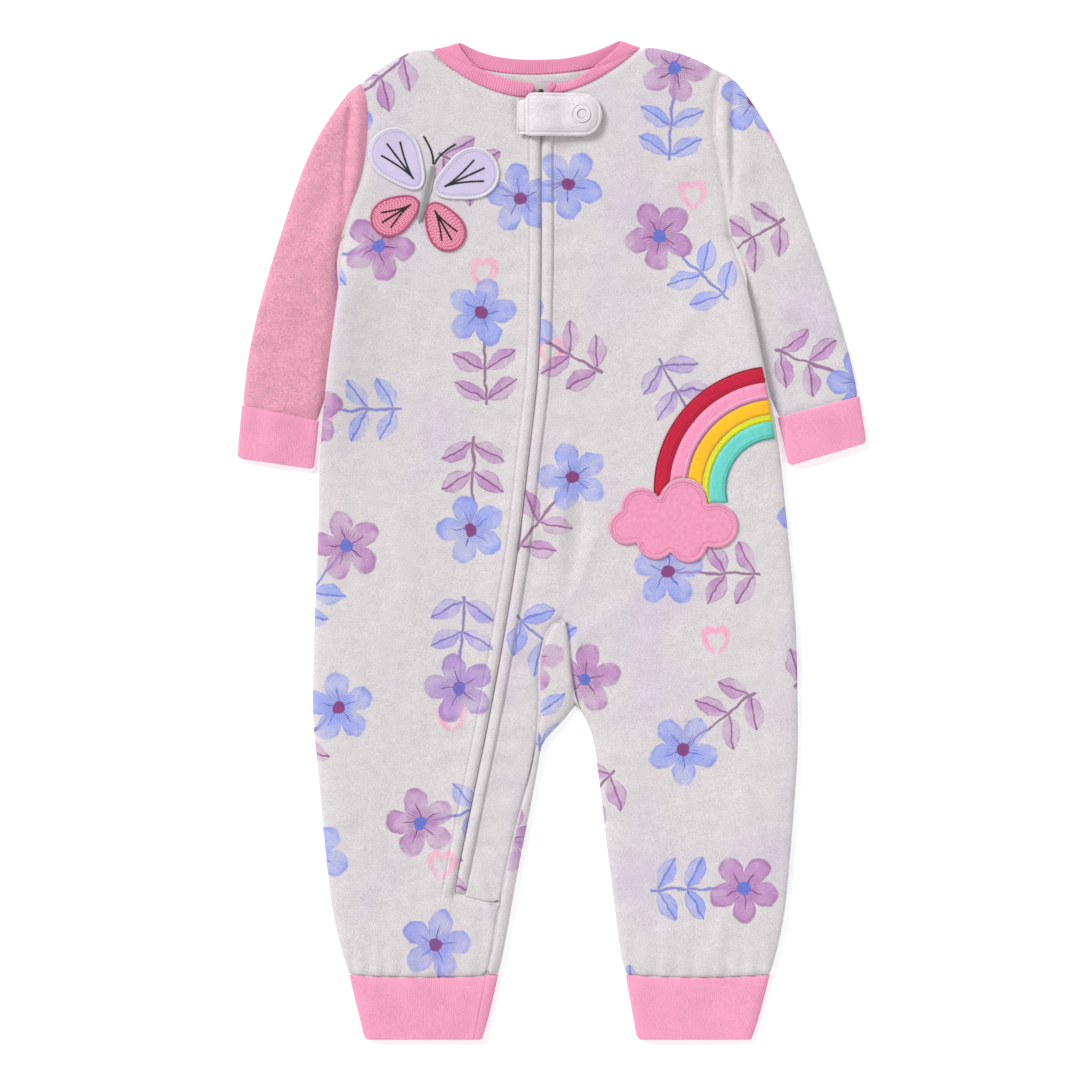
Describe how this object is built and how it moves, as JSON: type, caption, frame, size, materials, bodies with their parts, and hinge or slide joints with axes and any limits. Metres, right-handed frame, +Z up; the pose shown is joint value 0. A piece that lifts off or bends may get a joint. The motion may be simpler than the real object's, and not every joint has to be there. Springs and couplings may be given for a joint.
{
  "type": "baby romper",
  "caption": "Footless long-sleeved zip-front baby romper in printed fleece, laid flat, with rib cuffs, chin guard and sewn patches.",
  "frame": {"origin": "middle of the garment's box, at the surface it lies on", "axes": "+Y from the feet to the neck, +X to the wearer's left, +Z up from the surface"},
  "size_m": [0.39, 0.621, 0.0144],
  "materials": {
    "printed_fleece": "napped fleece, printed flowers",
    "white_fleece": "napped fleece",
    "pink_fleece": "napped fleece",
    "pink_rib": "rib knit",
    "neck_rib": "rib knit",
    "zip_white": "woven tape and moulded coil",
    "slider_black": "painted",
    "snap_white": "lacquered",
    "cloud_felt": "felt, satin-stitched edge",
    "crimson_felt": "felt",
    "pink_felt": "felt",
    "amber_felt": "felt",
    "lemon_felt": "felt",
    "turquoise_felt": "felt",
    "lavender_satin": "satin",
    "pink_stitching": "dense stitching",
    "silver_thread": "dense stitching"
  },
  "bodies": {
    "root": {"back_panel": "printed_fleece", "front_panel_right": "printed_fleece", "front_panel_left": "printed_fleece", "sleeve_right": "pink_fleece", "sleeve_left": "printed_fleece", "cuff_sleeve_right": "pink_rib", "cuff_sleeve_left": "pink_rib", "cuff_leg_right": "pink_rib", "cuff_leg_left": "pink_rib", "neck_binding": "neck_rib", "zip_tape": "zip_white", "zip_coil": "zip_white", "zip_slider": "slider_black", "zip_pull": "slider_black", "chin_guard": "white_fleece", "snap_ring": "snap_white", "snap_stud": "snap_white", "cloud_patch": "cloud_felt", "rainbow_crimson": "crimson_felt", "rainbow_pink": "pink_felt", "rainbow_amber": "amber_felt", "rainbow_lemon": "lemon_felt", "rainbow_turquoise": "turquoise_felt", "butterfly_wing_upper_right": "lavender_satin", "butterfly_wing_upper_left": "lavender_satin", "butterfly_wing_lower_right": "pink_stitching", "butterfly_wing_lower_left": "pink_stitching", "butterfly_body": "silver_thread"}
  },
  "joints": []
}
